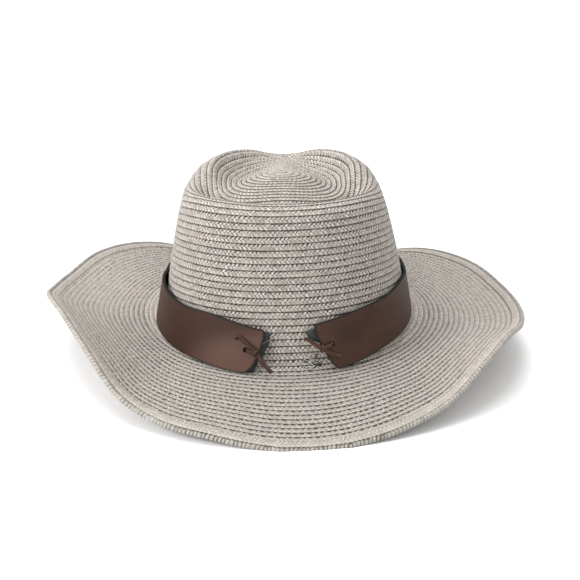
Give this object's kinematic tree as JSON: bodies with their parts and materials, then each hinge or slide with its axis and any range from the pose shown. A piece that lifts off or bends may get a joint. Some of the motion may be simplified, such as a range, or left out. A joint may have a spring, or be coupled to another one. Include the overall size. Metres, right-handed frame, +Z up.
{
  "type": "straw cowboy hat",
  "caption": "Sewn straw braid hat with a teardrop-dented crown, side-curled brim with a doubled rim, and a leather strap tied with thongs at the back.",
  "frame": {"origin": "centre of the hat's outline from above, on the surface it rests on", "axes": "+Z up, +Y to the front of the hat, +X to the wearer's right-hand side seen from behind; the strap's open ends are at the back (-Y)"},
  "size_m": [0.3329, 0.3438, 0.1309],
  "materials": {
    "straw": "matte sewn paper-straw braid, warm grey",
    "rim_straw": "matte doubled paper-straw braid, warm grey",
    "leather": "dark brown, slightly satin",
    "thong": "dark brown thong"
  },
  "bodies": {
    "root": {"straw_body": "straw", "rim_braid": "rim_straw", "hat_band": "leather", "band_tie_left": "thong", "band_tie_right": "thong"}
  },
  "joints": []
}
